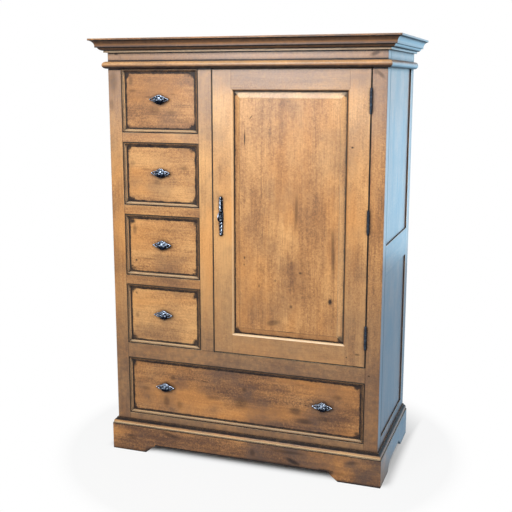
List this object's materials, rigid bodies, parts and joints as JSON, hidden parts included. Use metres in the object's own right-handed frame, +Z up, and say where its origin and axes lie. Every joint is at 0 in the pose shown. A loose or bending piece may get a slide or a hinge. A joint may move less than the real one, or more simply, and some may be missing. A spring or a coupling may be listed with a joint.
{
  "type": "cupboard",
  "caption": "Wooden cupboard with a framed, raised-panel door beside a stack of small drawers, over a wide drawer, on a plinth with bracket feet.",
  "frame": {"origin": "on the floor, under the middle of the outline (the cornice is the widest part)", "axes": "+Z up, -Y the front with the door and drawers, +X to the right as seen from the front"},
  "size_m": [1.212, 0.604, 1.68],
  "materials": {
    "case_wood": "satin lacquer over stained and glazed wood",
    "door_wood": "satin lacquer over stained and glazed wood",
    "drawer_wood": "satin lacquer over stained and glazed wood",
    "inner_wood": "bare, planed",
    "back_board": "bare",
    "pewter": "cast pewter, darkened in its hollows",
    "dark_iron": "blackened"
  },
  "bodies": {
    "carcass": {"back_panel": "back_board", "base_moulding": "case_wood", "bead": "case_wood", "bottom_board": "inner_wood", "bottom_rail": "case_wood", "catch_body": "dark_iron", "centre_stile": "case_wood", "cornice": "case_wood", "drawer_rails": "case_wood", "drawer_runners": "inner_wood", "drawer_stops": "inner_wood", "hinge_frame_leaves": "dark_iron", "hinge_frame_screws": "dark_iron", "hinge_pins": "dark_iron", "left_front_post": "case_wood", "left_rear_post": "case_wood", "left_side_panels": "case_wood", "left_side_rails": "case_wood", "partition": "inner_wood", "plinth": "case_wood", "right_front_post": "case_wood", "right_rear_post": "case_wood", "right_side_panels": "case_wood", "right_side_rails": "case_wood", "shelf_cleats": "inner_wood", "shelves": "inner_wood", "top_board": "case_wood", "top_rail": "case_wood", "waist_board": "inner_wood", "waist_rail": "case_wood"},
    "door": {"catch_plate": "dark_iron", "door_bottom_rail": "door_wood", "door_hinge_stile": "door_wood", "door_lock_stile": "door_wood", "door_panel": "door_wood", "door_pull": "pewter", "door_pull_plate": "pewter", "door_top_rail": "door_wood", "hinge_door_leaves": "dark_iron", "hinge_door_screws": "dark_iron"},
    "drawer_1": {"drawer_1_box": "inner_wood", "drawer_1_front": "drawer_wood", "drawer_1_moulding": "drawer_wood", "drawer_1_pull": "pewter"},
    "drawer_2": {"drawer_2_box": "inner_wood", "drawer_2_front": "drawer_wood", "drawer_2_moulding": "drawer_wood", "drawer_2_pull": "pewter"},
    "drawer_3": {"drawer_3_box": "inner_wood", "drawer_3_front": "drawer_wood", "drawer_3_moulding": "drawer_wood", "drawer_3_pull": "pewter"},
    "drawer_4": {"drawer_4_box": "inner_wood", "drawer_4_front": "drawer_wood", "drawer_4_moulding": "drawer_wood", "drawer_4_pull": "pewter"},
    "wide_drawer": {"wide_drawer_box": "inner_wood", "wide_drawer_front": "drawer_wood", "wide_drawer_moulding": "drawer_wood", "wide_drawer_pulls": "pewter"}
  },
  "joints": [
    {"name": "door_hinge", "type": "hinge", "parent": "carcass", "child": "door", "pos_m": [0.4935, -0.2508, 1.01525], "axis": [0, 0, 1], "range_deg": [0, 170]},
    {"name": "drawer_1_slide", "type": "slide", "parent": "carcass", "child": "drawer_1", "axis": [0, -1, 0], "range_m": [0, 0.36]},
    {"name": "drawer_2_slide", "type": "slide", "parent": "carcass", "child": "drawer_2", "axis": [0, -1, 0], "range_m": [0, 0.36]},
    {"name": "drawer_3_slide", "type": "slide", "parent": "carcass", "child": "drawer_3", "axis": [0, -1, 0], "range_m": [0, 0.36]},
    {"name": "drawer_4_slide", "type": "slide", "parent": "carcass", "child": "drawer_4", "axis": [0, -1, 0], "range_m": [0, 0.36]},
    {"name": "wide_drawer_slide", "type": "slide", "parent": "carcass", "child": "wide_drawer", "axis": [0, -1, 0], "range_m": [0, 0.36]}
  ]
}
